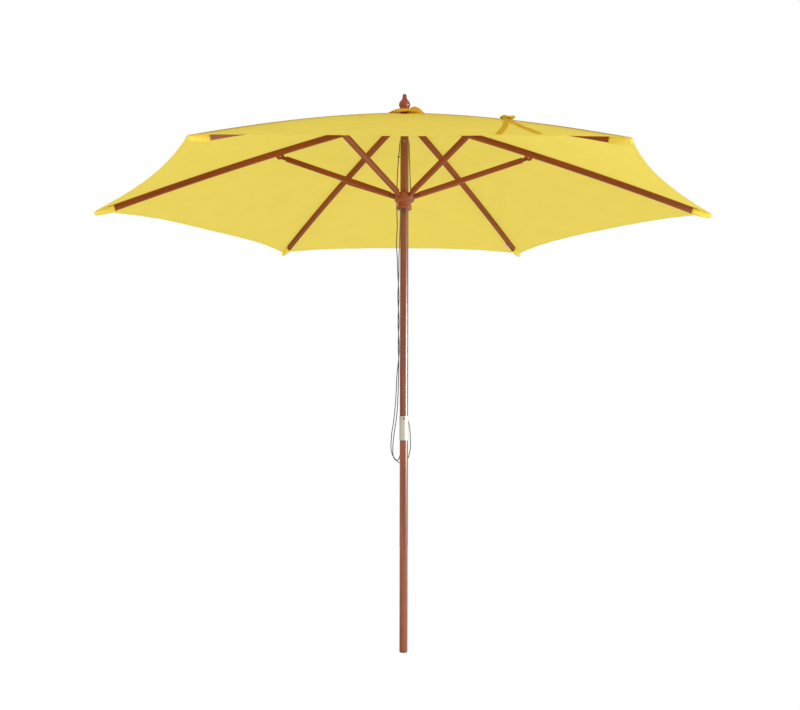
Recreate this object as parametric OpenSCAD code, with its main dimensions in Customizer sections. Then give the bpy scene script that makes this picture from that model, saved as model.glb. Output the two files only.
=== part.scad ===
// Six-rib garden parasol with a wooden frame, a cord hoist and a cloth canopy.
// Millimetres, +Z up, origin at the centre of the pole's foot, rib 1 along +X.

/* [Pole] */
// Height of the top end of the pole
pole_top = 2352; // [2100:10:2600]
// Diameter of both pole sections
pole_d = 36; // [30:1:42]
// Length of the foot, turned down to go into the tube of a base
foot_len = 450; // [300:10:600]
// Diameter of the foot
foot_d = 35; // [28:0.5:40]
// Height at which the two pole sections meet
pole_joint_z = 985; // [800:5:1100]
// Length of the metal sleeve that joins the sections
ferrule_len = 103; // [70:1:140]

/* [Canopy] */
// Width of the open canopy from corner to opposite corner
canopy_span = 2700; // [2300:20:3100]
// Slope of the open ribs below level, in degrees
open_slope = 18.1; // [12:0.1:26]
// How far the cloth corner reaches past the wooden rib
corner_reach = 60; // [30:1:90]
// How far each hem curves in at the middle of a panel
hem_sag = 68; // [10:1:80]
// Thickness of the canopy cloth
cloth_t = 1.2; // [0.8:0.1:3]
// Radius of the small cap over the crown
cap_r = 105; // [80:1:150]
// Distance from the axis to the knot of the tie strap, in plan
strap_u = 720; // [500:4:800]
// Width of the tie strap
strap_w = 20; // [14:1:30]
// Length of the strap's left tail, in plan
tail_a = 495; // [200:1:560]
// Length of the strap's right tail, in plan
tail_b = 450; // [200:2:560]

/* [Ribs and struts] */
// Width of a rib
rib_w = 18; // [14:1:24]
// Depth of a rib
rib_d = 24; // [18:1:32]
// Upward bow of a rib at its middle
rib_bow = 14; // [6:1:30]
// Distance between the two pivots of a strut
strut_len = 536; // [420:2:620]
// Width of a strut
strut_w = 16; // [12:1:20]
// Depth of a strut
strut_d = 22; // [16:1:24]
// Gap between the strut's tongue and the underside of the rib
pivot_gap = 0.5; // [0.3:0.1:4]

/* [Crown and runner] */
// Radius of the pivot circle on the crown and the runner
pivot_r = 36; // [34:1:44]
// Radius of the crown
crown_r = 50; // [48:1:60]
// Radius of the runner's flange
runner_r = 43; // [42:1:54]
// Height of the runner
runner_h = 72; // [64:1:110]
// Diameter of the pivot pins
pin_d = 5; // [4:0.5:7]

/* [Hoist] */
// Distance from the top of the pole down to the pulley's axle
pulley_drop = 139; // [125:1:400]
// Diameter of the cord
cord_d = 4; // [3:0.5:5]
// Diameter of the pin that locks the runner
lock_d = 6; // [4:0.5:8]
// Radial clearance of a running fit
run_fit = 0.08; // [0.03:0.01:0.1]
// Clearance at each side of a tongue in its slot
side_gap = 0.4; // [0.3:0.1:1]

/* [Hidden] */

wood = [0.62, 0.34, 0.23];
turned = [0.58, 0.30, 0.20];
cloth = [0.90, 0.80, 0.36];
cap_col = [0.90, 0.72, 0.18];
metal = [0.80, 0.79, 0.70];
dark = [0.22, 0.21, 0.21];
cord_col = [0.30, 0.30, 0.30];

rib_n = 6;
pole_r = pole_d / 2;
plug_r = pole_r - 0.1;              // both pole ends inside the sleeve
ferrule_top = pole_joint_z + 27;
pin_r = pin_d / 2;
cord_r = cord_d / 2;
tongue_w = 14;                      // the rib's tongue in the crown
neck_w = 8;                         // the strut's tongues
neck_r = 7.5;
pivot_drop = rib_d / 2 + neck_r + pivot_gap;

// open position of the ribs and struts
hub_z = pole_top - 35;
pulley_z = pole_top - pulley_drop;
rib_len = (canopy_span / 2 - corner_reach - pivot_r) / cos(open_slope);
bow_r = rib_len * rib_len / (8 * rib_bow) + rib_bow / 2;
function bow_at(x) = rib_bow - bow_r + sqrt(bow_r * bow_r - pow(x - rib_len / 2, 2));
strut_px = strut_len;               // along the rib to the strut's pivot, near enough
strut_pz = bow_at(strut_px) - pivot_drop;
arm = sqrt(strut_px * strut_px + strut_pz * strut_pz);
arm_slope = open_slope + atan(-strut_pz / strut_px);
out_x = pivot_r + arm * cos(arm_slope);
out_z = hub_z - arm * sin(arm_slope);
runner_pz = hub_z - 2 * arm * sin(arm_slope);
runner_top = runner_pz + 14;
runner_bot = runner_top - runner_h;
lock_z = runner_bot - 2 - lock_d / 2;

// height of the cloth's underside along a ridge, at plan radius u
lift = 2.6;
function along(u) = (u - pivot_r) / cos(open_slope);
function ridge_z(u) = hub_z - (u - pivot_r) * tan(open_slope)
  + (bow_at(along(u)) + rib_d / 2) / cos(open_slope) + lift;
// height of the cloth's underside anywhere within 30 degrees of the rib
function cloth_z(x, y) = ridge_z(x + abs(y) * tan(30));

module at_rib(i) rotate([0, 0, 60 * (i - 1)]) children();
module in_rib() translate([pivot_r, 0, hub_z]) rotate([0, open_slope, 0]) children();
module across(r, w, fn = 48) rotate([90, 0, 0]) cylinder(r = r, h = w, center = true, $fn = fn);

// a bar that bows up, from the origin to x = l, centred on its own middle line
module bowed_bar(l, w, d) {
  a = 2 * asin(l / (2 * bow_r));
  translate([l / 2, 0, rib_bow - bow_r]) rotate([90, 0, 0]) rotate([0, 0, 90 - a / 2])
    rotate_extrude(angle = a, $fn = 1800) translate([bow_r - d / 2, -w / 2]) square([d, w]);
}

// the foot goes into a base; the top end plugs into the sleeve and is turned down too
module lower_pole() color(wood) rotate_extrude($fn = 96)
  polygon([[0, 0], [foot_d / 2 - 2, 0], [foot_d / 2, 2], [foot_d / 2, foot_len],
    [pole_r, foot_len + 1], [pole_r, ferrule_top - ferrule_len - 4],
    [plug_r, ferrule_top - ferrule_len - 3], [plug_r, pole_joint_z - 2],
    [plug_r - 2, pole_joint_z], [0, pole_joint_z]]);

module upper_pole() color(wood) difference() {
  union() {
    translate([0, 0, ferrule_top]) cylinder(r = pole_r, h = pole_top - ferrule_top, $fn = 96);
    translate([0, 0, pole_joint_z]) cylinder(r = plug_r + run_fit,
      h = ferrule_top - pole_joint_z, $fn = 96);
  }
  translate([0, 0, pulley_z]) cube([pole_d + 4, 9, 48], center = true);
  translate([0, 0, pulley_z]) across(3, pole_d + 4);
  translate([0, 0, lock_z]) across(lock_d / 2 + 0.05, pole_d + 4);
  translate([0, 0, pole_top - 28]) cylinder(r = 4, h = 40, $fn = 48);
  translate([-6, -pole_r, pulley_z - 41]) across(2, 16, 32);
  for (s = [0, 1]) rotate([0, 0, 180 * s]) translate([0, -pole_r + 8, ferrule_top - 10])
    rotate([90, 0, 0]) cylinder(r = 2, h = 40, $fn = 32);
  cleat_post();
  eye_shank();
}

// metal sleeve, fixed to the upper section; the lower section plugs into it
module ferrule() color(metal) difference() {
  rotate_extrude($fn = 96) polygon([
    [plug_r + run_fit, ferrule_top - ferrule_len], [pole_r + 2.2, ferrule_top - ferrule_len],
    [pole_r + 2.4, ferrule_top - ferrule_len + 0.4], [pole_r + 2.4, ferrule_top - ferrule_len + 3],
    [pole_r + 1.8, ferrule_top - ferrule_len + 3.6], [pole_r + 1.8, ferrule_top - 5],
    [pole_r + 2.4, ferrule_top - 4.4], [pole_r + 2.4, ferrule_top - 0.8],
    [pole_r + 1.8, ferrule_top], [plug_r + run_fit, ferrule_top]]);
  for (s = [0, 1]) rotate([0, 0, 180 * s]) translate([0, -pole_r + 8, ferrule_top - 10])
    rotate([90, 0, 0]) cylinder(r = 2, h = 40, $fn = 32);
}

module ferrule_screws() color(dark) for (s = [0, 1]) rotate([0, 0, 180 * s]) {
  translate([0, -pole_r + 8, ferrule_top - 10]) rotate([90, 0, 0])
    cylinder(r = 2, h = 10.2, $fn = 32);
  translate([0, -pole_r - 2.1, ferrule_top - 10]) rotate([90, 0, 0])
    cylinder(r = 3.6, h = 1.6, $fn = 32);
}

module pivot_pins() for (i = [1 : rib_n]) at_rib(i) translate([pivot_r, 0, 0])
  across(pin_r, 30);

module crown_hub() color(turned) difference() {
  rotate_extrude($fn = 96) polygon([[pole_r, hub_z - 28], [crown_r - 6, hub_z - 28],
    [crown_r, hub_z - 22], [crown_r, hub_z + 8], [crown_r - 3, hub_z + 11], [28, hub_z + 18],
    [pole_r, hub_z + 18]]);
  for (i = [1 : rib_n]) at_rib(i)
    translate([pivot_r - rib_d / 2 - 0.5, -tongue_w / 2 - side_gap, hub_z - 40])
      cube([crown_r, tongue_w + 2 * side_gap, 40 + rib_d / 2 + 1.2]);
  translate([0, 0, hub_z]) pivot_pins();
}
module crown_pins() color(metal) translate([0, 0, hub_z]) pivot_pins();

module finial() color(turned) difference() {
  translate([0, 0, pole_top + 5]) rotate_extrude($fn = 72) polygon([[0, 0], [19, 0], [20, 2],
    [19.2, 5], [20, 8], [23, 13], [24.6, 18], [25, 23], [24, 28], [21.5, 33], [17.5, 38],
    [13.5, 43], [11, 48], [9.6, 53], [9.2, 58], [8.8, 62], [7.6, 66], [5, 68.5], [0, 69]]);
  translate([0, 0, pole_top]) cylinder(r = 4, h = 36, $fn = 48);
}
module finial_screw() color(metal)
  translate([0, 0, pole_top - 28]) cylinder(r = 4, h = 64, $fn = 48);
module canopy_washer() color(metal) translate([0, 0, pole_top + 2.2]) difference() {
  cylinder(r = 23, h = 2.6, $fn = 72);
  translate([0, 0, -1]) cylinder(r = 4.4, h = 6, $fn = 48);
}
module vent_cap() color(cap_col) rotate_extrude($fn = 96) polygon([
  [4.5, pole_top + 0.4], [22, pole_top + 0.4], [cap_r, ridge_z(cap_r) + cloth_t + 3],
  [cap_r, ridge_z(cap_r) + cloth_t + 4.4], [22.3, pole_top + 1.8], [4.5, pole_top + 1.8]]);

module pulley_axle() color(metal) translate([0, 0, pulley_z]) across(3, pole_d - 1.5);
module pulley_sheave() color(metal) translate([0, 0, pulley_z]) rotate([90, 0, 0])
  rotate_extrude($fn = 96) polygon([[3 + run_fit, -4], [22, -4], [22, -3.2],
    [19.6 - cord_r, -2.3], [19.6 - cord_r, 2.3], [22, 3.2], [22, 4], [3 + run_fit, 4]]);

module runner() color(turned) difference() {
  rotate_extrude($fn = 96) polygon([[pole_r + 0.5, runner_bot], [30, runner_bot],
    [32, runner_bot + 2], [32, runner_bot + 15], [28.5, runner_bot + 21],
    [28.5, runner_top - 45], [runner_r - 5, runner_top - 38], [runner_r, runner_top - 33],
    [runner_r, runner_top - 2], [runner_r - 2, runner_top], [pole_r + 0.5, runner_top]]);
  for (i = [1 : rib_n]) at_rib(i)
    translate([pivot_r - neck_r - 1, -neck_w / 2 - side_gap, runner_pz - neck_r - 1])
      cube([runner_r, neck_w + 2 * side_gap, 60]);
  translate([0, 0, runner_pz]) pivot_pins();
  rotate([0, 0, 151]) translate([31, -6, runner_top - 60]) cube([30, 12, 80]);
}
module runner_pins() color(metal) translate([0, 0, runner_pz]) pivot_pins();

module rib(i) color(wood) at_rib(i) in_rib() difference() {
  union() {
    bowed_bar(rib_len, rib_w, rib_d);
    across(rib_d / 2, tongue_w);
  }
  for (s = [-1, 1]) translate([10, s * (tongue_w / 2 + 10), 0]) cube([44, 20, 60], center = true);
  across(pin_r + run_fit, 40);
}

module strut(i) color(wood) at_rib(i) translate([pivot_r, 0, runner_pz])
  rotate([0, -arm_slope, 0]) difference() {
    union() {
      translate([27, -strut_w / 2, -strut_d / 2]) cube([arm - 54, strut_w, strut_d]);
      translate([0, -neck_w / 2, -neck_r]) cube([arm, neck_w, 2 * neck_r]);
      across(neck_r, neck_w);
      translate([arm, 0, 0]) across(neck_r, neck_w);
    }
    across(pin_r + run_fit, 40);
    translate([arm, 0, 0]) across(pin_r + run_fit, 40);
  }

// two cheeks glued under the rib; the strut's tongue sits between them
cheek_w = (rib_w - neck_w) / 2 - side_gap;
function under_rib(x) = bow_at(x) - rib_d / 2 - 0.1;
module strut_cheeks(i) color(wood) at_rib(i) in_rib() difference() {
  for (s = [-1, 1]) translate([strut_px, s * (rib_w - cheek_w) / 2, 0]) rotate([90, 0, 0])
    linear_extrude(height = cheek_w, center = true) polygon([
      [-17, under_rib(strut_px - 17)], [-17, strut_pz - 1], [-10, strut_pz - neck_r],
      [10, strut_pz - neck_r], [17, strut_pz - 1], [17, under_rib(strut_px + 17)]]);
  translate([strut_px, 0, strut_pz]) across(pin_r, rib_w + 10);
}
module strut_pin(i) color(metal) at_rib(i) in_rib()
  translate([strut_px, 0, strut_pz]) across(pin_r, rib_w + 2);

// cloth on one rib: two half panels that meet at the seam over the rib
grid_u = 10;
grid_v = 5;
u_in = 60;
function cloth_pt(t, v, up) = let (
    s = abs(v),
    u_out = canopy_span / 2 - hem_sag * (1 - pow(1 - s, 2.5)),
    u = u_in + (u_out - u_in) * t)
  [(1 - s / 4) * u + 0.175 * s, (v < 0 ? -1 : 1) * (u * 0.4330127 * s - 0.303 * s),
    ridge_z(u) + up];
module canopy_section(i) color(cloth) at_rib(i) polyhedron(
  points = [for (up = [0, cloth_t]) for (a = [0 : grid_u]) for (b = [-grid_v : grid_v])
    cloth_pt(a / grid_u, b / grid_v, up)],
  faces = slab_faces(grid_u + 1, 2 * grid_v + 1));

// faces of a thin slab: point a * nc + b of the lower layer, then the same of the upper
// layer, where a runs forwards and b runs from right to left
function quad(p, q, r, s) = [[p, r, q], [p, s, r]];
function slab_faces(nr, nc) = let (n = nr * nc) [
  for (a = [0 : nr - 2]) for (b = [0 : nc - 2]) let (p = a * nc + b)
    each concat(quad(p, p + 1, p + nc + 1, p + nc),
      quad(n + p, n + p + nc, n + p + nc + 1, n + p + 1)),
  for (a = [0 : nr - 2]) let (p = a * nc, q = a * nc + nc - 1)
    each concat(quad(p, p + nc, n + p + nc, n + p), quad(q, n + q, n + q + nc, q + nc)),
  for (b = [0 : nc - 2]) let (p = b, q = (nr - 1) * nc + b)
    each concat(quad(p, n + p, n + p + 1, p + 1), quad(q, q + 1, n + q + 1, n + q))];

// cloth pocket under the corner that takes the end of the rib; the canopy closes its top
module rib_pocket(i) color(cloth) at_rib(i) in_rib() difference() {
  translate([rib_len - 28, -rib_w / 2 - 1.6, -rib_d / 2 - 1.8])
    cube([28 + corner_reach - 6, rib_w + 3.2, rib_d + 1.8 - 3]);
  bowed_bar(rib_len + 0.3, rib_w + 0.6, rib_d + 0.6);
  translate([rib_len + 34, -20, -rib_d]) rotate([0, -22, 0]) cube([60, 40, 20]);
}

// tie strap on the ridge of rib 6: a knot, two loops and two long tails over the front panel
function along_tail(a, turn, l) = a + l * [cos(turn), -sin(turn)];
function on_cloth(x, y, up) = [x, y, cloth_z(x, y) + cloth_t + up];
module strip(a, b, w) {
  side = [a[1] - b[1], b[0] - a[0]] / norm(b - a);
  polyhedron(
    points = [for (up = [0.4, 1.6]) for (t = [0 : 0.125 : 1]) for (s = [-w / 2, w / 2])
      let (p = a + (b - a) * t + side * s) on_cloth(p[0], p[1], up)],
    faces = slab_faces(9, 2));
}
module tie_strap() color(cap_col) at_rib(6) {
  a = [strap_u - 24, -12];
  b = [strap_u + 26, -12];
  strip(a, along_tail(a, 37, tail_a), strap_w);
  strip(b, along_tail(b, 25, tail_b), strap_w);
  translate(on_cloth(strap_u, 0, 0.6)) translate([0, -3, 3.4]) rotate([0, open_slope, 0])
    cube([22, 16, 6.8], center = true);
  for (s = [-1, 1]) translate(on_cloth(strap_u + s * 19, -3, 7.6)) rotate([0, open_slope, 0])
    difference() {
      across(7, 20, 40);
      across(5.6, 30, 40);
    }
}

// the pin's ring hangs clear of the runner's flange
ring_y = runner_r + 3;
module locking_pin() color(dark) translate([0, 0, lock_z]) difference() {
  rotate([90, 0, 0]) rotate_extrude($fn = 48) polygon([[0, -pole_r - 5],
    [lock_d / 2 - 1, -pole_r - 5], [lock_d / 2, -pole_r - 3], [lock_d / 2, ring_y + 3],
    [lock_d / 2 - 1, ring_y + 4], [0, ring_y + 4]]);
  translate([0, -ring_y, 0]) rotate([0, 90, 0]) cylinder(r = 1.6, h = 20, center = true, $fn = 32);
}
module pin_ring() color(dark) translate([0, -ring_y, lock_z - 9]) rotate([90, 0, 0])
  rotate_extrude($fn = 64) translate([9, 0]) circle(r = 1, $fn = 24);

// hook at the back of the pole, just above the sleeve, that the cord hangs on
cleat_z = ferrule_top + 33;
module cleat_post() translate([0, pole_r - 10, cleat_z]) rotate([-90, 0, 0])
  cylinder(r = 3, h = 24, $fn = 40);
module cord_cleat() color(metal) union() {
  cleat_post();
  translate([0, pole_r + 14, cleat_z]) rotate([-90, 0, 0]) cylinder(r = 7, h = 3, $fn = 40);
}

// eye on the side of the pole that guides the cord
eye_a = 169;
eye_z = pulley_z - 64;
module eye_shank() rotate([0, 0, eye_a]) translate([pole_r - 9, 0, eye_z]) rotate([0, 90, 0])
  cylinder(r = 1.4, h = 12.6, $fn = 32);
module cord_eye() color(dark) union() {
  eye_shank();
  rotate([0, 0, eye_a]) translate([pole_r + 8, 0, eye_z]) rotate_extrude($fn = 48)
    translate([4.9, 0]) circle(r = 1.2, $fn = 24);
}

// one cord: runner, pulley, down the left side, round the hook, back up to the runner
cord_path = concat(
  [[27.7, 16, runner_top], [24, 9, 2090], [20.6, 1, 2185]],
  [for (a = [0 : 20 : 180]) [20.5 * cos(a), 0, pulley_z + 20.5 * sin(a)]],
  [[-21.6, 1, 2190], [-25.6, 5, 2149], [-30, 12, 2080], [-33, 18, 2010], [-33, 18, 1912],
   [-31, 12, 1850], [-34, 7, 1760], [-30, 4, 1690]],
  [for (k = [0 : 7]) let (z = 1640 - 54 * k, c = -26 + 0.4 * k, a = 90 * k)
    [c - 2.5 * cos(a), 2.5 * sin(a), z]],
  [[-30, -1, 1200], [-36, -3, 1082], [-42, -4, 1017], [-47, -4, 974], [-52, -3, 944],
   [-55, -1, 909], [-56, 2, 882], [-53, 5, 856], [-46, 7, 838], [-34, 12, 822], [-21, 20, 810],
   [-6, 25, 806], [10, 24, 816], [20, 17, 834], [26, 10, 856], [29, 5, 882], [29, 5, 909],
   [27, 9, 944], [23, 15, 974], [16, 22, 1005], [8, 25.5, 1030]],
  [for (a = [0 : 45 : 180]) [6 * cos(a), 26, cleat_z + 6 * sin(a)]],
  [[-8, 27, 1020], [-9, 28, 960], [-11, 28, 890], [-17, 26, 838], [-28, 18, 820],
   [-40, 7, 826], [-46, -2, 842], [-48, -5, 866], [-46, -6, 905], [-41, -6, 946],
   [-33, -6, 1000], [-27, -5, 1082], [-24, -3, 1180]],
  [for (k = [7 : -1 : 0]) let (z = 1640 - 54 * k, c = -26 + 0.4 * k, a = 90 * k)
    [c + 2.5 * cos(a), -2.5 * sin(a), z]],
  [[-23.5, -8, 1700], [-21, -16, 1770], [-18.5, -20, 1850], [-17, -21, runner_bot]]);

cord_sides = 8;
function unit(v) = v / norm(v);
function tangent(p, i) = unit(p[min(i + 1, len(p) - 1)] - p[max(i - 1, 0)]);
function flat_to(v, t) = unit(v - (v * t) * t);
function carry(p, i, v, out) = i == len(p) ? out
  : let (w = flat_to(v, tangent(p, i))) carry(p, i + 1, w, concat(out, [w]));
module tube(p, r) {
  n = len(p);
  m = cord_sides;
  across_v = carry(p, 0, [1, 0.2, 0], []);
  polyhedron(
    points = [for (i = [0 : n - 1]) let (t = i == 0 || i == n - 1 ? [0, 0, 1] : tangent(p, i),
        u = i == 0 || i == n - 1 ? flat_to(across_v[i], [0, 0, 1]) : across_v[i],
        w = cross(i == 0 ? [0, 0, 1] : i == n - 1 ? [0, 0, 1] : t, u))
      for (k = [0 : m - 1]) p[i] + r * (cos(360 * k / m) * u + sin(360 * k / m) * w)],
    faces = concat([[for (k = [0 : m - 1]) k]],
      [for (i = [0 : n - 2]) for (k = [0 : m - 1]) for (h = [0, 1])
        h == 0 ? [i * m + k, (i + 1) * m + k, i * m + (k + 1) % m]
               : [i * m + (k + 1) % m, (i + 1) * m + k, (i + 1) * m + (k + 1) % m]],
      [[for (k = [m - 1 : -1 : 0]) (n - 1) * m + k]]));
}
module lift_cord() color(cord_col) tube(cord_path, cord_r);

lower_pole();
upper_pole();
ferrule();
ferrule_screws();
crown_hub();
crown_pins();
finial();
finial_screw();
canopy_washer();
vent_cap();
pulley_axle();
pulley_sheave();
runner();
runner_pins();
locking_pin();
pin_ring();
lift_cord();
cord_cleat();
cord_eye();
tie_strap();
for (i = [1 : rib_n]) {
  rib(i);
  strut(i);
  strut_cheeks(i);
  strut_pin(i);
  canopy_section(i);
  rib_pocket(i);
}
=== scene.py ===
# %% [markdown]
# # A six-rib garden parasol
#
# The parasol's rigid parts, such as the pole, ribs, struts and runner, come from a solid
# model that is loaded as the frame. They keep their exact shapes and get finishes here.
# The cloth, the cord and the tie strap are soft, so they are modelled here as soft
# things. Everything is in metres, +Z is up, rib 1 lies along +X and the camera looks
# along +Y.

# %% Load the frame
import math

import bmesh
import bpy
from mathutils import Matrix, Vector, noise


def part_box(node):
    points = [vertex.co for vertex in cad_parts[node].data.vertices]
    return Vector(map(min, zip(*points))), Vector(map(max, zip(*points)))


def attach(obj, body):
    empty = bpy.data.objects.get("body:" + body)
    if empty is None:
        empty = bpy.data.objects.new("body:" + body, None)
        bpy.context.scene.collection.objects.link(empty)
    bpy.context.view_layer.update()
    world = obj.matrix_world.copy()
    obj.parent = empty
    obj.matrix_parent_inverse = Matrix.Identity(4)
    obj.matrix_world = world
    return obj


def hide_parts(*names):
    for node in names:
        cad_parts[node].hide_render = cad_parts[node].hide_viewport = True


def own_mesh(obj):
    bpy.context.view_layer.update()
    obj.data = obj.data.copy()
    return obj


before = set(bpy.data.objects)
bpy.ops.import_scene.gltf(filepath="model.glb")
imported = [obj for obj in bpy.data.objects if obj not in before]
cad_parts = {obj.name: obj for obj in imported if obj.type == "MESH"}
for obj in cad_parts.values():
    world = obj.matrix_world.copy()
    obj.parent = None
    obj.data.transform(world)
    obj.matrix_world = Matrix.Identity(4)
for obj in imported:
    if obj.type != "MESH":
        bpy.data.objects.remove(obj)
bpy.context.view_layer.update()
scene = bpy.context.scene
scene.view_settings.view_transform = "Standard"

# %% [markdown]
# ## The frame's sizes
#
# The cloth has to lie on the ribs, so it needs to know where they are. The corner's
# radius and the height of the crown come from the frame. The slope and the bow of the
# ribs are the same driving sizes that the solid model uses.

# %% Sizes of the frame that the cloth lies on
RIBS = 6
SECTOR = math.radians(360 / RIBS)
SIDES = {1: "left", -1: "right"}
corner_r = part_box("canopy_section_1")[1][0]
pole_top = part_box("upper_pole")[1][2]
pivot_r = 0.036
pivot_below_top = 0.035
hub_z = pole_top - pivot_below_top
slope = math.radians(18.1)
strut_rise = 0.328
rib_depth = 0.024
rib_end_in = 0.060
rib_len = (corner_r - rib_end_in - pivot_r) / math.cos(slope)
rib_bow = 0.014
bow_radius = rib_len**2 / (8 * rib_bow) + rib_bow / 2
cloth_gap = 0.0026
cloth_t = 0.0012
hem_sag = 0.068
hem_power = 2.5
print(f"corner radius {corner_r:.3f}, crown pivots at {hub_z:.3f}, rib {rib_len:.3f} long")


def bow_at(x):
    """Rise of a rib's middle line above its chord, x along the chord."""
    return rib_bow - bow_radius + math.sqrt(bow_radius**2 - (x - rib_len / 2) ** 2)


def ridge_z(u):
    """Height of the cloth's underside over a rib, at plan radius u."""
    along = (u - pivot_r) / math.cos(slope)
    rise = (bow_at(along) + rib_depth / 2) / math.cos(slope)
    return hub_z - (u - pivot_r) * math.tan(slope) + rise + cloth_gap


def rib_turn(i):
    """Rotation from rib 1's plan direction to rib i's."""
    return Matrix.Rotation(SECTOR * (i - 1), 4, "Z")


def rib_frame(i):
    """Matrix from a rib's own frame, +X along its chord, to the row frame."""
    lean = Matrix.Rotation(slope, 4, "Y")
    return rib_turn(i) @ Matrix.Translation((pivot_r, 0, hub_z)) @ lean


# %% [markdown]
# ## Helpers for building pieces
#
# Each new piece starts as a bmesh. One helper turns a finished bmesh into an object at
# the origin, so that the piece's place is in its mesh, as it is for the solid parts.

# %% Make objects from bmeshes
def finish_piece(name, bm, material):
    bmesh.ops.recalc_face_normals(bm, faces=bm.faces)
    mesh = bpy.data.meshes.new(name)
    bm.to_mesh(mesh)
    bm.free()
    for face in mesh.polygons:
        face.use_smooth = True
    obj = bpy.data.objects.new(name, mesh)
    scene.collection.objects.link(obj)
    mesh.materials.append(material)
    return obj


def thicken(obj, thickness, offset=1.0):
    solid = obj.modifiers.new("Cloth thickness", "SOLIDIFY")
    solid.thickness = thickness
    solid.offset = offset
    return obj


def grid(columns, rows):
    """A bmesh grid from -1 to 1 each way with UVs, ready to be laid over a surface."""
    bm = bmesh.new()
    bm.loops.layers.uv.new("UVMap")
    bmesh.ops.create_grid(bm, x_segments=columns, y_segments=rows, size=1, calc_uvs=True)
    return bm


def lay_grid(bm, place):
    """Moves each grid point to place(a, b) and writes the UV that place returns."""
    uv = bm.loops.layers.uv.active
    seen = {vert: place(vert.co.x, vert.co.y) for vert in bm.verts}
    for face in bm.faces:
        for loop in face.loops:
            loop[uv].uv = seen[loop.vert][1]
    for vert, (point, _) in seen.items():
        vert.co = point
    return bm


# %% [markdown]
# ## Shader effects that several materials share
#
# Weave, stitching and wood grain are node groups with named inputs and outputs. A
# material places the group and gives it its own values.

# %% Node helpers
def new_group(name, inputs, outputs):
    group = bpy.data.node_groups.new(name, "ShaderNodeTree")
    for label, kind, value in inputs:
        socket = group.interface.new_socket(label, in_out="INPUT", socket_type=kind)
        if value is not None:
            socket.default_value = value
    for label, kind in outputs:
        group.interface.new_socket(label, in_out="OUTPUT", socket_type=kind)
    return group, group.nodes.new("NodeGroupInput"), group.nodes.new("NodeGroupOutput")


def maths(nodes, links, operation, first, second=None, third=None):
    node = nodes.new("ShaderNodeMath")
    node.operation = operation
    for index, value in enumerate((first, second, third)):
        if value is None:
            continue
        if isinstance(value, (int, float)):
            node.inputs[index].default_value = value
        else:
            links.new(value, node.inputs[index])
    return node.outputs[0]


# %% Wood grain: long streaks and fine fibres along the vector's X
def make_grain():
    group, given, out = new_group(
        "Wood grain",
        [
            ("Vector", "NodeSocketVector", None),
            ("Dark", "NodeSocketColor", (0.2, 0.05, 0.02, 1)),
            ("Light", "NodeSocketColor", (0.4, 0.12, 0.05, 1)),
        ],
        [("Color", "NodeSocketColor"), ("Fibres", "NodeSocketFloat")],
    )
    nodes, links = group.nodes, group.links
    streaks = nodes.new("ShaderNodeMapping")
    streaks.inputs["Scale"].default_value = (1.6, 42, 42)
    links.new(given.outputs["Vector"], streaks.inputs["Vector"])
    broad = nodes.new("ShaderNodeTexNoise")
    broad.inputs["Scale"].default_value = 1.0
    broad.inputs["Detail"].default_value = 3.0
    broad.inputs["Distortion"].default_value = 0.6
    links.new(streaks.outputs["Vector"], broad.inputs["Vector"])
    threads = nodes.new("ShaderNodeMapping")
    threads.inputs["Scale"].default_value = (14, 520, 520)
    links.new(given.outputs["Vector"], threads.inputs["Vector"])
    fine = nodes.new("ShaderNodeTexNoise")
    fine.inputs["Scale"].default_value = 1.0
    fine.inputs["Detail"].default_value = 2.0
    links.new(threads.outputs["Vector"], fine.inputs["Vector"])
    wide = maths(nodes, links, "MULTIPLY_ADD", broad.outputs["Fac"], 1.7, -0.35)
    blend = maths(nodes, links, "MULTIPLY_ADD", fine.outputs["Fac"], 0.5, -0.25)
    amount = maths(nodes, links, "ADD", wide, blend)
    mix = nodes.new("ShaderNodeMix")
    mix.data_type = "RGBA"
    mix.clamp_factor = True
    links.new(amount, mix.inputs["Factor"])
    links.new(given.outputs["Dark"], mix.inputs["A"])
    links.new(given.outputs["Light"], mix.inputs["B"])
    links.new(mix.outputs["Result"], out.inputs["Color"])
    links.new(fine.outputs["Fac"], out.inputs["Fibres"])
    return group


grain_group = make_grain()


# %% Plain weave: two sets of threads, from a UV in metres
def make_weave():
    group, given, out = new_group(
        "Plain weave",
        [
            ("UV", "NodeSocketVector", None),
            ("Thread", "NodeSocketFloat", 0.0011),
        ],
        [("Shade", "NodeSocketFloat"), ("Height", "NodeSocketFloat")],
    )
    nodes, links = group.nodes, group.links
    split = nodes.new("ShaderNodeSeparateXYZ")
    links.new(given.outputs["UV"], split.inputs["Vector"])
    waves = []
    for axis in ("X", "Y"):
        count = maths(nodes, links, "DIVIDE", split.outputs[axis], given.outputs["Thread"])
        angle = maths(nodes, links, "MULTIPLY", count, math.pi)
        waves.append(maths(nodes, links, "ABSOLUTE", maths(nodes, links, "SINE", angle)))
    height = maths(nodes, links, "MULTIPLY", waves[0], waves[1])
    uneven = nodes.new("ShaderNodeTexNoise")
    uneven.inputs["Scale"].default_value = 9.0
    uneven.inputs["Detail"].default_value = 4.0
    links.new(given.outputs["UV"], uneven.inputs["Vector"])
    soft = maths(nodes, links, "MULTIPLY_ADD", uneven.outputs["Fac"], 0.10, 0.93)
    # Where the threads dip between crossings the cloth is painted darker, and on their crests
    # lighter: painted shade in the gaps of the weave.
    threads = maths(nodes, links, "MULTIPLY_ADD", height, 0.06, -0.03)
    links.new(maths(nodes, links, "ADD", soft, threads), out.inputs["Shade"])
    links.new(height, out.inputs["Height"])
    return group


weave_group = make_weave()


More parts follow.
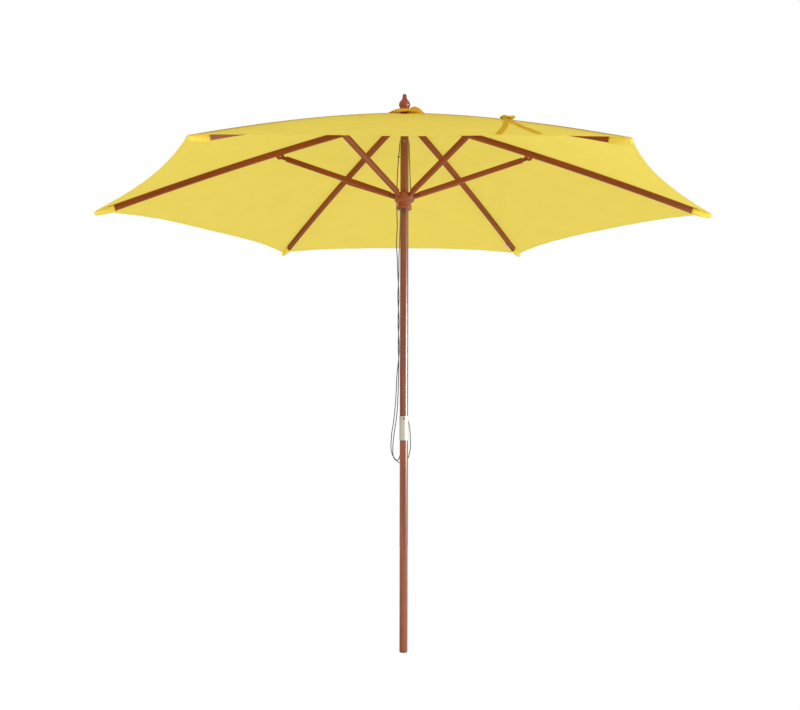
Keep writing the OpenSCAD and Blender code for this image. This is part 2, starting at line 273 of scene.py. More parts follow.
# %% Stitching: rows of dashes beside the seam (UV x = 0) and inside the hem (UV y = 0)
def make_stitches():
    group, given, out = new_group(
        "Stitching",
        [
            ("UV", "NodeSocketVector", None),
            ("Seam row", "NodeSocketFloat", 0.005),
            ("Hem row", "NodeSocketFloat", 0.016),
        ],
        [("Mask", "NodeSocketFloat")],
    )
    nodes, links = group.nodes, group.links
    split = nodes.new("ShaderNodeSeparateXYZ")
    links.new(given.outputs["UV"], split.inputs["Vector"])
    rows = []
    for across, along, row in (("X", "Y", "Seam row"), ("Y", "X", "Hem row")):
        near = maths(nodes, links, "ABSOLUTE", split.outputs[across])
        off = maths(nodes, links, "SUBTRACT", near, given.outputs[row])
        line = maths(nodes, links, "LESS_THAN", maths(nodes, links, "ABSOLUTE", off), 0.0006)
        step = maths(nodes, links, "DIVIDE", split.outputs[along], 0.0042)
        dash = maths(nodes, links, "LESS_THAN", maths(nodes, links, "FRACT", step), 0.68)
        rows.append(maths(nodes, links, "MULTIPLY", line, dash))
    links.new(maths(nodes, links, "MAXIMUM", rows[0], rows[1]), out.inputs["Mask"])
    return group


stitch_group = make_stitches()

# %% [markdown]
# ## Wood
#
# The pole, ribs and struts are varnished reddish-brown hardwood. Grain runs along each
# piece, so each direction gets its own material: a Mapping node turns the object's
# coordinates until the piece lies along X, which is the way the grain group runs.

# %% Wood finishes
WOOD_DARK = (0.155, 0.036, 0.014, 1)
WOOD_LIGHT = (0.345, 0.094, 0.040, 1)
RIB_DARK = (0.170, 0.033, 0.006, 1)
RIB_LIGHT = (0.360, 0.084, 0.016, 1)


def wood(name, along, shift=0.0, dark=WOOD_DARK, light=WOOD_LIGHT, gloss=0.40, coat=0.50):
    mat = bpy.data.materials.new(name)
    mat.use_nodes = True
    nodes, links = mat.node_tree.nodes, mat.node_tree.links
    shader = nodes["Principled BSDF"]
    coords = nodes.new("ShaderNodeTexCoord")
    turn = nodes.new("ShaderNodeMapping")
    turn.inputs["Rotation"].default_value = (
        Vector(along).rotation_difference(Vector((1, 0, 0))).to_euler()
    )
    turn.inputs["Location"].default_value = (shift, shift * 0.37, 0)
    links.new(coords.outputs["Object"], turn.inputs["Vector"])
    grain = nodes.new("ShaderNodeGroup")
    grain.node_tree = grain_group
    grain.inputs["Dark"].default_value = dark
    grain.inputs["Light"].default_value = light
    links.new(turn.outputs["Vector"], grain.inputs["Vector"])
    links.new(grain.outputs["Color"], shader.inputs["Base Color"])
    links.new(
        maths(nodes, links, "MULTIPLY_ADD", grain.outputs["Fibres"], 0.18, gloss),
        shader.inputs["Roughness"],
    )
    bump = nodes.new("ShaderNodeBump")
    bump.inputs["Strength"].default_value = 0.25
    bump.inputs["Distance"].default_value = 0.0003
    links.new(grain.outputs["Fibres"], bump.inputs["Height"])
    links.new(bump.outputs["Normal"], shader.inputs["Normal"])
    shader.inputs["Specular IOR Level"].default_value = 0.2
    shader.inputs["Coat Weight"].default_value = coat
    shader.inputs["Coat Roughness"].default_value = 0.25
    return mat


# %% [markdown]
# ## Metal
#
# The sleeve on the pole is pale brushed metal. Pins, screws and the pulley are small, so
# a plain satin steel and a dark worn one are enough, with a little unevenness in the
# roughness.

# %% Metal finishes
def metal(name, colour, roughness, uneven=0.15, scale=60.0, metallic=1.0):
    mat = bpy.data.materials.new(name)
    mat.use_nodes = True
    nodes, links = mat.node_tree.nodes, mat.node_tree.links
    shader = nodes["Principled BSDF"]
    shader.inputs["Base Color"].default_value = (*colour, 1)
    shader.inputs["Metallic"].default_value = metallic
    coords = nodes.new("ShaderNodeTexCoord")
    wear = nodes.new("ShaderNodeTexNoise")
    wear.inputs["Scale"].default_value = scale
    wear.inputs["Detail"].default_value = 3.0
    links.new(coords.outputs["Object"], wear.inputs["Vector"])
    links.new(
        maths(nodes, links, "MULTIPLY_ADD", wear.outputs["Fac"], uneven, roughness - uneven / 2),
        shader.inputs["Roughness"],
    )
    return mat


sleeve_metal = metal("Pale sleeve metal", (0.58, 0.56, 0.475), 0.42, 0.2, 45, 0.4)
steel = metal("Satin steel", (0.56, 0.56, 0.55), 0.34)
dark_steel = metal("Dark steel", (0.045, 0.042, 0.04), 0.5, 0.2, 80, 0.7)

# %% [markdown]
# ## Cloth
#
# The canopy is a thin yellow woven cloth. Light falls through it, so most of what shows
# on its underside comes from above: a Translucent shader beside the Principled one does
# that. The weave is far finer than the piece, so it is a bump, a slight random change of
# tone and painted shade in the gaps between the threads, all in the cloth's own UV.

# %% Cloth finishes
CLOTH = (0.86, 0.69, 0.120)
# The pockets are the canopy's cloth, painted lighter than it: painted light that makes up for the
# shade of the rib inside them.
POCKET_CLOTH_PAINTED_LIGHTER = (0.95, 0.76, 0.120)
# The cap is the same cloth as the tie strap, painted lighter than it: painted light that makes up
# for the shade under the cap's ruffles.
CAP_PAINTED_LIGHTER = (0.92, 0.60, 0.045)
STRAP = (0.80, 0.53, 0.038)


def cloth(name, colour, through=0.72, thread=0.0011, seam_row=0.005, hem_row=0.016):
    mat = bpy.data.materials.new(name)
    mat.use_nodes = True
    nodes, links = mat.node_tree.nodes, mat.node_tree.links
    shader = nodes["Principled BSDF"]
    coords = nodes.new("ShaderNodeTexCoord")
    weave = nodes.new("ShaderNodeGroup")
    weave.node_tree = weave_group
    weave.inputs["Thread"].default_value = thread
    links.new(coords.outputs["UV"], weave.inputs["UV"])
    sewn = nodes.new("ShaderNodeGroup")
    sewn.node_tree = stitch_group
    sewn.inputs["Seam row"].default_value = seam_row
    sewn.inputs["Hem row"].default_value = hem_row
    links.new(coords.outputs["UV"], sewn.inputs["UV"])
    # The weave's Shade darkens the colour: a random unevenness of tone, and painted shade in the
    # gaps between the threads.
    tint = nodes.new("ShaderNodeMix")
    tint.data_type = "RGBA"
    tint.blend_type = "MULTIPLY"
    tint.inputs["Factor"].default_value = 1.0
    tint.inputs["A"].default_value = (*colour, 1)
    links.new(weave.outputs["Shade"], tint.inputs["B"])
    thread_colour = nodes.new("ShaderNodeMix")
    thread_colour.data_type = "RGBA"
    links.new(sewn.outputs["Mask"], thread_colour.inputs["Factor"])
    links.new(tint.outputs["Result"], thread_colour.inputs["A"])
    thread_colour.inputs["B"].default_value = (colour[0] * 0.7, colour[1] * 0.62, 0.04, 1)
    links.new(thread_colour.outputs["Result"], shader.inputs["Base Color"])
    shader.inputs["Roughness"].default_value = 0.86
    shader.inputs["Specular IOR Level"].default_value = 0.0
    bump = nodes.new("ShaderNodeBump")
    bump.inputs["Strength"].default_value = 0.35
    bump.inputs["Distance"].default_value = 0.0004
    pressed = maths(nodes, links, "SUBTRACT", weave.outputs["Height"], sewn.outputs["Mask"])
    links.new(pressed, bump.inputs["Height"])
    links.new(bump.outputs["Normal"], shader.inputs["Normal"])
    back = nodes.new("ShaderNodeBsdfTranslucent")
    links.new(thread_colour.outputs["Result"], back.inputs["Color"])
    mix = nodes.new("ShaderNodeMixShader")
    mix.inputs["Fac"].default_value = through
    links.new(shader.outputs["BSDF"], mix.inputs[1])
    links.new(back.outputs["BSDF"], mix.inputs[2])
    links.new(mix.outputs["Shader"], nodes["Material Output"].inputs["Surface"])
    return mat


canopy_cloth = cloth("Yellow canopy cloth", CLOTH)
pocket_cloth_painted_lighter = cloth("Yellow pocket cloth", POCKET_CLOTH_PAINTED_LIGHTER, 0.10)
cap_cloth_painted_lighter = cloth("Orange-yellow cap cloth", CAP_PAINTED_LIGHTER, 0.55)
strap_cloth = cloth("Orange-yellow strap cloth", STRAP, 0.40)
label_cloth = cloth("White label cloth", (0.85, 0.85, 0.82), 0.2, 0.0006, 0.5, 0.5)

# %% [markdown]
# ## Finishes on the solid parts
#
# The solid parts keep their shapes. Square-cut wood never has a razor edge, so the ribs
# and struts get a small bevel as a modifier, after a Weld that joins the loose triangles
# they come as.

# %% Put finishes on the frame
def soften(obj, width):
    weld = obj.modifiers.new("Join triangles", "WELD")
    weld.merge_threshold = 0.00001
    bevel = obj.modifiers.new("Worn edges", "BEVEL")
    bevel.width = width
    bevel.segments = 2
    bevel.limit_method = "ANGLE"
    bevel.angle_limit = math.radians(50)


def dress(node, material):
    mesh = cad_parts[node].data
    mesh.materials.clear()
    mesh.materials.append(material)


UP = (0, 0, 1)
pole_wood = wood("Varnished wood, pole", UP)
upper_wood = wood("Varnished wood, upper pole", UP, 0.7)
dress("lower_pole", pole_wood)
dress("upper_pole", upper_wood)
turned = wood("Turned wood", UP, 1.9, (0.165, 0.037, 0.012, 1), (0.43, 0.105, 0.034, 1), 0.40, 0.20)
for node in ("crown_hub", "runner", "finial"):
    dress(node, turned)
for i in range(1, RIBS + 1):
    rib_dir = (rib_turn(i) @ Matrix.Rotation(slope, 4, "Y")).to_3x3() @ Vector((1, 0, 0))
    strut_dir = (rib_turn(i) @ Matrix.Rotation(-strut_rise, 4, "Y")).to_3x3() @ Vector((1, 0, 0))
    rib_wood = wood(f"Varnished wood, rib {i}", rib_dir, 0.31 * i, RIB_DARK, RIB_LIGHT, 0.48, 0.0)
    dress(f"rib_{i}", rib_wood)
    dress(f"strut_cheeks_{i}", rib_wood)
    strut_wood = wood(f"Varnished wood, strut {i}", strut_dir, 0.23 * i + 2, RIB_DARK,
                      RIB_LIGHT, 0.46, 0.0)
    dress(f"strut_{i}", strut_wood)
    dress(f"strut_pin_{i}", steel)
    soften(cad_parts[f"rib_{i}"], 0.0016)
    soften(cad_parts[f"strut_{i}"], 0.0016)
for node in ("crown_pins", "runner_pins", "pulley_axle", "pulley_sheave", "finial_screw",
             "canopy_washer"):
    dress(node, steel)
dress("ferrule", sleeve_metal)
for node in ("ferrule_screws", "locking_pin", "pin_ring", "cord_eye", "cord_cleat"):
    dress(node, dark_steel)
print("finishes on", len(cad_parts), "solid parts")

# %% [markdown]
# ## The canopy
#
# A real canopy is six panels sewn together along the ribs and pulled tight by them. It
# could be one mesh, but then it couldn't fold: here it is one continuous surface, cut
# along each rib and along the middle of each panel, so that each rib carries the cloth
# on both sides of its seam. Both sides of a cut use the same formula, so no join shows.
#
# The cloth runs level from rib to rib and sags a little between them. Its hem curves
# inwards, it puckers at the crown and it pulls into faint folds at the corners.

# %% Shape of the canopy
inner_r = 0.060
half_side = math.tan(SECTOR / 2)
across_per_u = half_side * math.cos(SECTOR / 2) ** 2
back_per_u = math.sin(SECTOR / 2) ** 2
seam_half = 0.006
seam_ply = 0.0007
hem_width = 0.019
hem_ply = 0.0006
panel_sag = 0.009
pucker_height, pucker_reach = 0.0016, 0.07
pull_height, pull_reach = 0.0005, 0.17


def hem_u(v):
    """How far out the hem is, from 0 at a rib to 1 at the middle of a panel."""
    return corner_r - hem_sag * (1 - (1 - abs(v)) ** hem_power)


def canopy_point(turn, u, v):
    """A point on the cloth's underside, with the folds and the sag."""
    flat = turn @ Vector(((1 - back_per_u * abs(v)) * u, across_per_u * u * v, 0))
    azimuth = math.atan2(flat.y, flat.x)
    out = max(0.0, min(1.0, u / corner_r))
    between = math.sin(math.pi / 2 * min(1.0, abs(v)))
    sag = 0.25 + 0.75 * math.sin(math.pi * out**1.3) + 0.7 * out**6
    sag *= panel_sag * between**2
    pucker = pucker_height * between * math.sin(30 * azimuth)
    pucker *= math.exp(-(u - inner_r) / pucker_reach)
    pull = pull_height * (1 - math.cos(10 * math.pi * v))
    pull *= math.exp(-(corner_r - u) / pull_reach)
    drift = 0.0034 * noise.noise(Vector((flat.x, flat.y, 0.3)) * 2.4) * between
    drift += 0.0010 * noise.noise(Vector((flat.x, flat.y, 1.7)) * 11.0) * between
    edge = hem_u(v) - u
    sewn = seam_ply * math.exp(-((across_per_u * u * v / seam_half) ** 4))
    sewn += hem_ply * math.exp(-((max(edge, 0) / hem_width) ** 8))
    flat.z = ridge_z(u) - sag + pucker + pull + drift + sewn
    return flat


def canopy_top(x, y):
    """Height of the cloth's upper side at a point in plan."""
    azimuth = math.atan2(y, x)
    rib = round(azimuth / SECTOR)
    turn = Matrix.Rotation(SECTOR * rib, 4, "Z")
    local = turn.inverted() @ Vector((x, y, 0))
    u = local.x + abs(local.y) * half_side
    v = max(-1.0, min(1.0, local.y / (across_per_u * u)))
    return canopy_point(turn, u, v).z + cloth_t


# %% Lay a half panel on each side of every rib
def canopy_sheet(i, side):
    """Half a panel, from rib i to the middle; side is 1 or -1 across the rib."""
    turn = rib_turn(i)

    def place(a, b):
        v = side * ((1 + b) / 2) ** 1.45
        t = 1 - ((1 - a) / 2) ** 1.35
        u = inner_r + (hem_u(v) - inner_r) * t
        point = canopy_point(turn, u, v) + Vector((0, 0, cloth_t / 2))
        return point, (across_per_u * u * v, hem_u(v) - u)

    bm = lay_grid(grid(72, 32), place)
    obj = finish_piece(f"canopy_{i}_{SIDES[side]}", bm, canopy_cloth)
    if obj.data.polygons[0].normal.z < 0:
        obj.data.flip_normals()
    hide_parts(f"canopy_section_{i}")
    return obj


def gather(obj, i, side):
    """Rides on rib i, so it moves with the rib as the ribs fold."""
    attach(obj, f"rib_{i}")
    rib_way = (rib_frame(i).to_3x3() @ Vector((1, 0, 0))).normalized()
    hem_turn = Matrix.Rotation(side * (SECTOR / 2 + math.pi / 2), 4, "Z")
    hem_way = rib_turn(i) @ hem_turn @ Vector((1, 0, 0))
    across = (hem_way - hem_way.project(rib_way)).normalized()
    ridge = rib_turn(i) @ Vector((corner_r / 2, 0, ridge_z(corner_r / 2)))
    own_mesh(obj)


canopy = {(i, side): canopy_sheet(i, side) for i in range(1, RIBS + 1) for side in SIDES}

# %% [markdown]
# ## Corner pockets
#
# At each corner a cloth pocket takes the end of the rib and pulls the cloth tight. It is
# a loft: a few rounded-rectangle rings, bridged one to the next, that hug the wood and
# then rise to the corner. A plane cuts the roof off, because the canopy closes the top.

# %% Rings and lofts
def ring(bm, matrix, width, height, squareness, segments=28):
    """A rounded rectangle in the matrix's YZ plane, made from a circle."""
    made = bmesh.ops.create_circle(bm, segments=segments, radius=1)["verts"]
    for vert in made:
        c, s = vert.co.x, vert.co.y
        y = math.copysign(abs(c) ** squareness, c) * width / 2
        z = math.copysign(abs(s) ** squareness, s) * height / 2
        vert.co = matrix @ Vector((0, y, z))
    return [edge for edge in {e for vert in made for e in vert.link_edges}]


def loft(bm, rings, close_last=True):
    for first, second in zip(rings, rings[1:]):
        bmesh.ops.bridge_loops(bm, edges=first + second)
    if close_last:
        bmesh.ops.contextual_create(bm, geom=rings[-1])


# x from the rib's end, width, floor, roof, squareness
POCKET = (
    (-0.030, 0.0214, -0.0137, 0.0130, 0.45),
    (-0.012, 0.0216, -0.0136, 0.0130, 0.45),
    (0.003, 0.0214, -0.0134, 0.0130, 0.50),
    (0.020, 0.0206, -0.0120, 0.0127, 0.55),
    (0.038, 0.0190, -0.0095, 0.0122, 0.60),
    (0.054, 0.0170, -0.0070, 0.0115, 0.65),
    (0.062, 0.0145, -0.0045, 0.0110, 0.70),
)
POCKET_TOP = 0.0100
pocket_t = 0.0009


def corner_pocket(i):
    bm = bmesh.new()
    bm.loops.layers.uv.new("UVMap")
    rings = []
    for x, width, floor_z, roof_z, squareness in POCKET:
        middle = (floor_z + roof_z) / 2
        at = rib_frame(i) @ Matrix.Translation((rib_len + x, 0, middle))
        rings.append(ring(bm, at, width, roof_z - floor_z, squareness))
    loft(bm, rings)
    cut = rib_frame(i) @ Vector((rib_len, 0, POCKET_TOP))
    upward = rib_frame(i).to_3x3() @ Vector((0, 0, 1))
    bmesh.ops.bisect_plane(bm, geom=bm.verts[:] + bm.edges[:] + bm.faces[:], dist=0.00001,
                           plane_co=cut, plane_no=upward, clear_outer=True, clear_inner=False)
    bmesh.ops.recalc_face_normals(bm, faces=bm.faces)
    uv = bm.loops.layers.uv.active
    inward = rib_frame(i).inverted()
    for face in bm.faces:
        for loop in face.loops:
            local = inward @ loop.vert.co
            loop[uv].uv = (local.y + 0.05, local.x - rib_len + 0.046)
    obj = finish_piece(f"corner_pocket_{i}", bm, pocket_cloth_painted_lighter)
    thicken(obj, pocket_t, -1.0)
    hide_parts(f"rib_pocket_{i}")
    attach(obj, f"rib_{i}")
    return obj


for i in range(1, RIBS + 1):
    corner_pocket(i)

# %% [markdown]
# ## The care label
#
# A small white label is sewn into the seam beside rib 2 and hangs a little below the
# cloth. It has no writing on it.

# %% Label beside rib 2
def place_label(a, b):
    hang = (1 + b) / 2
    x = 1.200 + 0.011 * a
    y = 0.0135 + 0.004 * hang**2
    point = rib_turn(2) @ Vector((x, y, 0))
    point.z = ridge_z(x + y * half_side) - 0.0035 - 0.030 * hang
    return point, (0.5 + 0.011 * a, 0.5 + 0.030 * hang)


label = finish_piece("care_label", lay_grid(grid(6, 10), place_label), label_cloth)
thicken(label, 0.0005, 0.0)
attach(label, "rib_2")

# %% [markdown]
# ## The cap over the crown
#
# A small round cloth cap covers the hole where the panels meet. It is held under the
# finial's washer, and its loose edge ruffles: waves that grow towards the rim and never
# dip into the canopy below. One bigger fold stands up at the right.

# %% Ruffled cap
cap_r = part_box("vent_cap")[1][0]
cap_low, cap_high = (corner[2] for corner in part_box("vent_cap"))
cap_flat = 0.022
cap_hole = 0.0048
cap_under = 0.0014
ruffles, ruffle_height = 8, 0.0050
rib_dip = 0.0040
fold_height, fold_spread = 0.020, 0.42
cap_swell = 0.006
fold_azimuth = math.radians(-14)


def cap_point(azimuth, r):
    rim = max(0.0, (r - cap_flat) / (cap_r - cap_flat))
    z = cap_high - cap_under - (cap_high - cap_low - cap_under) * rim
    wave = 0.5 + 0.5 * math.sin(ruffles * azimuth + 1.1 * math.sin(3 * azimuth + 0.6))
    z += ruffle_height * wave * rim**1.5
    z -= rib_dip * (0.5 - 0.5 * math.cos(RIBS * azimuth)) * rim
    turn = (azimuth - fold_azimuth + math.pi) % (2 * math.pi) - math.pi
    z += fold_height * math.exp(-((turn / fold_spread) ** 2)) * math.sin(math.pi * rim**0.75)
    z += cap_swell * math.sin(math.pi * rim**0.8)
    r *= 1 - 0.035 * wave * rim
    return Vector((r * math.cos(azimuth), r * math.sin(azimuth), z))


def place_cap(a, b):
    azimuth = math.pi * a
    r = cap_hole + (cap_r - cap_hole) * (1 + b) / 2
    return cap_point(azimuth, r), (cap_r * azimuth + 1.0, cap_r - r)


bm = lay_grid(grid(160, 22), place_cap)
bmesh.ops.remove_doubles(bm, verts=bm.verts, dist=0.00001)
cap = finish_piece("crown_cap", bm, cap_cloth_painted_lighter)
if sum(face.normal.z for face in cap.data.polygons) < 0:
    cap.data.flip_normals()
thicken(cap, cloth_t)
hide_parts("vent_cap")
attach(cap, "upper_section")
print(f"cap: radius {cap_r:.3f}, rim at {cap_low:.3f}")

# %% [markdown]
# ## The tie strap
#
# A strap like the cap's cloth ties the folded canopy. With the canopy open it is knotted
# in a small bow on one ridge, and its two long tails lie over the front panel. Each run
# of strap is a ribbon: a narrow grid laid along a path, with its width set by the
# surface below.

# %% Ribbons on the ridge of rib 6
strap_u = 0.738
strap_w = 0.020
strap_t = 0.0011
strap_turn = rib_turn(6)


def on_canopy(x, y, above):
    """A point above the cloth, from rib 6's own plan directions."""
    flat = strap_turn @ Vector((x, y, 0))
    return Vector((flat.x, flat.y, canopy_top(flat.x, flat.y) + above))


def ribbon(name, centre, side, width, rows=64):
    """centre(t) and side(t) for t from 0 to 1 give the middle line and its width's way."""
    def place(a, b):
        t = (1 + a) / 2
        return centre(t) + side(t).normalized() * (b * width / 2), (b * width / 2 + 0.5, t)

    bm = lay_grid(grid(rows, 6), place)
    obj = finish_piece(name, bm, strap_cloth)
    thicken(obj, strap_t, 0.0)
    gather(obj, 6, -1)
    return obj


def tail(name, start, end, curl):
    """A loose tail on the cloth, from the knot outwards."""
    run = Vector(end) - Vector(start)
    across = Vector((-run.y, run.x)).normalized()

    def plan(t):
        return Vector(start) + run * t + across * curl * math.sin(math.pi * t)

    def centre(t):
        at = plan(t)
        lift = 0.0016 + 0.006 * math.exp(-t / 0.02) + 0.0020 * math.sin(3.3 * math.pi * t) ** 2
        return on_canopy(at.x, at.y, lift)

    def side(t):
        at = plan(t)
        one = on_canopy(at.x - across.x * 0.01, at.y - across.y * 0.01, 0.0)
        two = on_canopy(at.x + across.x * 0.01, at.y + across.y * 0.01, 0.0)
        return two - one

    return ribbon(name, centre, side, strap_w)


def bow_loop(name, direction, size):
    """One loop of the bow: a teardrop that stands on the ridge."""
    def centre(t):
        angle = 2 * math.pi * t
        x = direction * (0.005 + size * (1 - math.cos(angle)) / 2)
        z = 0.0072 + size * 0.13 * math.sin(angle) * (1 - 0.35 * math.cos(angle))
        return on_canopy(strap_u + x, -0.004, 0) + Vector((0, 0, z))

    def side(t):
        return strap_turn.to_3x3() @ Vector((0.3 * math.sin(2 * math.pi * t), 1, 0.62))

    return ribbon(name, centre, side, strap_w * 0.72)


tail("strap_tail_left", (strap_u - 0.004, -0.008), (1.091, -0.311), 0.010)
tail("strap_tail_right", (strap_u + 0.006, -0.008), (1.155, -0.199), -0.012)
bow_loop("strap_loop_in", -1, 0.032)
bow_loop("strap_loop_out", 1, 0.034)

# %% The knot in the middle of the bow
bm = bmesh.new()
bm.loops.layers.uv.new("UVMap")
bmesh.ops.create_uvsphere(bm, u_segments=28, v_segments=18, radius=1, calc_uvs=True)
knot_at = on_canopy(strap_u, -0.004, 0.0068)
for vert in bm.verts:
    pinch = 1 + 0.12 * math.cos(3 * math.atan2(vert.co.y, vert.co.x))
    local = Vector((vert.co.x * 0.0105 * pinch, vert.co.y * 0.0125 * pinch, vert.co.z * 0.0062))
    vert.co = knot_at + strap_turn @ local
knot = finish_piece("strap_knot", bm, strap_cloth)
gather(knot, 6, -1)
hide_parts("tie_strap")

# %% [markdown]
# ## The hoist cord
#
# One cord lifts the runner. From the runner it goes up and over the pulley in the pole,
# comes down the left side through a guide eye, twists with its own return, swings out
# beside the sleeve, goes round the back of the pole to its hook, and comes back up to
# the runner's underside. A Bezier spline through a few round-number points gives its
# centreline, and the bevel gives its thickness.

# %% Route of the cord
cord_d = 0.004
pulley_z = sum(corner[2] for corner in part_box("pulley_sheave")) / 2
runner_low, runner_high = (corner[2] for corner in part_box("runner"))
hook_z = sum(corner[2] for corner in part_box("cord_cleat")) / 2
twist_top, twist_step, twist_points = 1.640, 0.054, 8
wrap_r, hook_r, hook_y, strand_r = 20.5, 6, 26, 2.5


def over_pulley():
    for degrees in range(0, 181, 20):
        angle = math.radians(degrees)
        yield (wrap_r * math.cos(angle), 0, 1000 * pulley_z + wrap_r * math.sin(angle))


def round_hook():
    for degrees in range(0, 181, 45):
        angle = math.radians(degrees)
        yield (hook_r * math.cos(angle), hook_y, 1000 * hook_z + hook_r * math.sin(angle))


def twisted(strand, order):
    """One of the two strands that wind round each other below the runner."""
    for k in order:
        angle = math.pi / 2 * k
        middle = -26 + 0.4 * k
        yield (middle - strand * strand_r * math.cos(angle),
               strand * strand_r * math.sin(angle),
               1000 * (twist_top - twist_step * k))


route = [(27.7, 16, 1000 * runner_high), (24, 9, 2090), (20.6, 1, 2185)]
route += over_pulley()
route += [(-21.6, 1, 2190), (-25.6, 5, 2149), (-30, 12, 2080), (-33, 18, 2010),
          (-33, 18, 1912), (-31, 12, 1850), (-34, 7, 1760), (-30, 4, 1690)]
route += twisted(1, range(twist_points))
route += [(-30, -1, 1200), (-36, -3, 1082), (-42, -4, 1017), (-47, -4, 974), (-52, -3, 944),
          (-55, -1, 909), (-56, 2, 882), (-53, 5, 856), (-46, 7, 838), (-34, 12, 822),
          (-21, 20, 810), (-6, 25, 806), (10, 24, 816), (20, 17, 834), (26, 10, 856),
          (29, 5, 882), (29, 5, 909), (27, 9, 944), (23, 15, 974), (16, 22, 1005),
          (8, 25.5, 1030)]
route += round_hook()
route += [(-8, 27, 1020), (-9, 28, 960), (-11, 28, 890), (-17, 26, 838), (-28, 18, 820),
          (-40, 7, 826), (-46, -2, 842), (-48, -5, 866), (-46, -6, 905), (-41, -6, 946),
          (-33, -6, 1000), (-27, -5, 1082), (-24, -3, 1180)]
route += twisted(-1, reversed(range(twist_points)))
route += [(-23.5, -8, 1700), (-21, -16, 1770), (-18.5, -20, 1850),
          (-17, -21, 1000 * runner_low)]
points = [Vector(p) / 1000 for p in route]
cord_len = sum((b - a).length for a, b in zip(points, points[1:]))
print(f"cord: {len(points)} points, {cord_len:.2f} m long")


# %% Cord finish: twisted yarns along the curve's own UV, with painted shade in their grooves
def make_cord_finish():
    mat = bpy.data.materials.new("Dark twisted cord")
    mat.use_nodes = True
    nodes, links = mat.node_tree.nodes, mat.node_tree.links
    shader = nodes["Principled BSDF"]
    coords = nodes.new("ShaderNodeTexCoord")
    split = nodes.new("ShaderNodeSeparateXYZ")
    links.new(coords.outputs["UV"], split.inputs["Vector"])
    turns = maths(nodes, links, "MULTIPLY", split.outputs["X"], cord_len / (4 * cord_d))
    lay = maths(nodes, links, "ADD", turns, split.outputs["Y"])
    wave = maths(nodes, links, "SINE", maths(nodes, links, "MULTIPLY", lay, 6 * math.pi))
    # The rope is one dark grey; the grooves between its yarns are painted darker than their crests,
    # as painted shade beside the bump.
    groove_shade = nodes.new("ShaderNodeMix")
    groove_shade.data_type = "RGBA"
    groove_shade.inputs["A"].default_value = (0.035, 0.034, 0.034, 1)
    groove_shade.inputs["B"].default_value = (0.165, 0.160, 0.155, 1)
    links.new(maths(nodes, links, "MULTIPLY_ADD", wave, 0.5, 0.5), groove_shade.inputs["Factor"])
    links.new(groove_shade.outputs["Result"], shader.inputs["Base Color"])
    shader.inputs["Roughness"].default_value = 0.8
    bump = nodes.new("ShaderNodeBump")
    bump.inputs["Strength"].default_value = 0.6
    bump.inputs["Distance"].default_value = 0.0006
    links.new(wave, bump.inputs["Height"])
    links.new(bump.outputs["Normal"], shader.inputs["Normal"])
    return mat


curve = bpy.data.curves.new("hoist_cord", "CURVE")
curve.dimensions = "3D"
curve.bevel_depth = cord_d / 2
curve.bevel_resolution = 3
curve.resolution_u = 6
curve.use_fill_caps = True
spline = curve.splines.new("BEZIER")
spline.bezier_points.add(len(points) - 1)
for knot_point, place in zip(spline.bezier_points, points):
    knot_point.co = place
    knot_point.handle_left_type = "AUTO"
    knot_point.handle_right_type = "AUTO"
cord = bpy.data.objects.new("hoist_cord", curve)
scene.collection.objects.link(cord)
curve.materials.append(make_cord_finish())
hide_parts("lift_cord")
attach(cord, "upper_section")

# %% [markdown]
#
# The sheets are final now, so they can be tied to the ribs.

# %% Tie the canopy to the ribs
for (i, side), obj in canopy.items():
    gather(obj, i, side)

# %% [markdown]
# ## Floor, light and camera
#
# A pale floor and a white surround light the parasol softly from every side, also from
# below. The camera doesn't see the floor, so the backdrop stays plain white. Glossy rays
# see a dimmer surround, so the varnish isn't veiled. Two low lamps at the front light
# the parasol from below, and a third at the right only gives the wood its highlight.

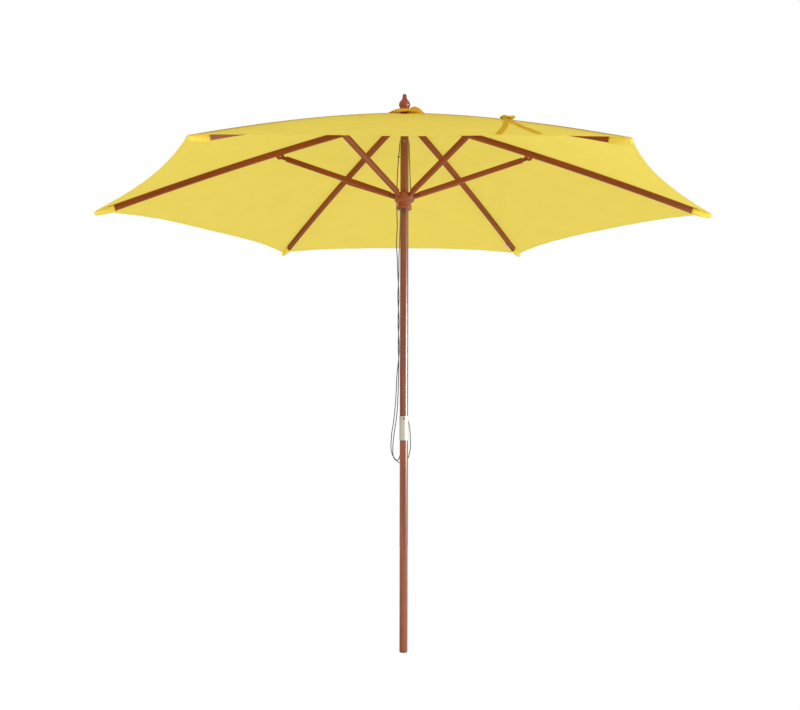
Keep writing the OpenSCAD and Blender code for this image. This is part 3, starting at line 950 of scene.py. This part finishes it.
# %% Floor
bm = bmesh.new()
bmesh.ops.create_grid(bm, x_segments=1, y_segments=1, size=30)
floor_mat = bpy.data.materials.new("Pale floor")
floor_mat.use_nodes = True
floor_mat.node_tree.nodes["Principled BSDF"].inputs["Base Color"].default_value = (
    0.80, 0.80, 0.80, 1)
floor_mat.node_tree.nodes["Principled BSDF"].inputs["Roughness"].default_value = 0.9
floor_mesh = bpy.data.meshes.new("floor")
bm.to_mesh(floor_mesh)
bm.free()
floor = bpy.data.objects.new("floor", floor_mesh)
scene.collection.objects.link(floor)
floor_mesh.materials.append(floor_mat)
floor.visible_camera = False

# %% Light
world = bpy.data.worlds.new("White surround")
world.use_nodes = True
world.node_tree.nodes["Background"].inputs["Color"].default_value = (1, 1, 1, 1)
world_nodes, world_links = world.node_tree.nodes, world.node_tree.links
rays = world_nodes.new("ShaderNodeLightPath")
world_links.new(
    maths(world_nodes, world_links, "MULTIPLY_ADD", rays.outputs["Is Glossy Ray"], -0.70, 1.0),
    world_nodes["Background"].inputs["Strength"],
)
scene.world = world


def lamp(name, place, aim, size, power, soft=True):
    """A square lamp: soft ones only light surfaces, the others only make highlights."""
    light = bpy.data.lights.new(name, "AREA")
    light.shape = "SQUARE"
    light.size = size
    light.energy = power
    obj = bpy.data.objects.new(name, light)
    obj.location = place
    obj.rotation_euler = (Vector(aim) - Vector(place)).to_track_quat("-Z", "Y").to_euler()
    obj.visible_camera = False
    obj.visible_diffuse = soft
    obj.visible_transmission = soft
    obj.visible_glossy = not soft
    scene.collection.objects.link(obj)


lamp("key", (3.6, -3.0, 1.5), (0, 0, 1.4), 1.4, 70)
lamp("fill", (-3.6, -3.0, 0.9), (0, 0, 1.6), 2.4, 30)
lamp("highlight", (3.4, -1.0, 1.2), (0, 0, 1.2), 1.2, 420, soft=False)

# %% Camera
camera_data = bpy.data.cameras.new("camera")
camera_data.sensor_width = 36
camera_data.lens = 39.18
camera = bpy.data.objects.new("camera", camera_data)
scene.collection.objects.link(camera)
camera.location = (-0.0578, -3.7866, 1.1445)
aim = Matrix.Rotation(-0.0106, 3, "Z") @ Matrix.Rotation(math.pi / 2 + 0.0352, 3, "X")
camera.rotation_euler = (aim @ Matrix.Rotation(0.0024, 3, "Z")).to_euler()
scene.camera = camera
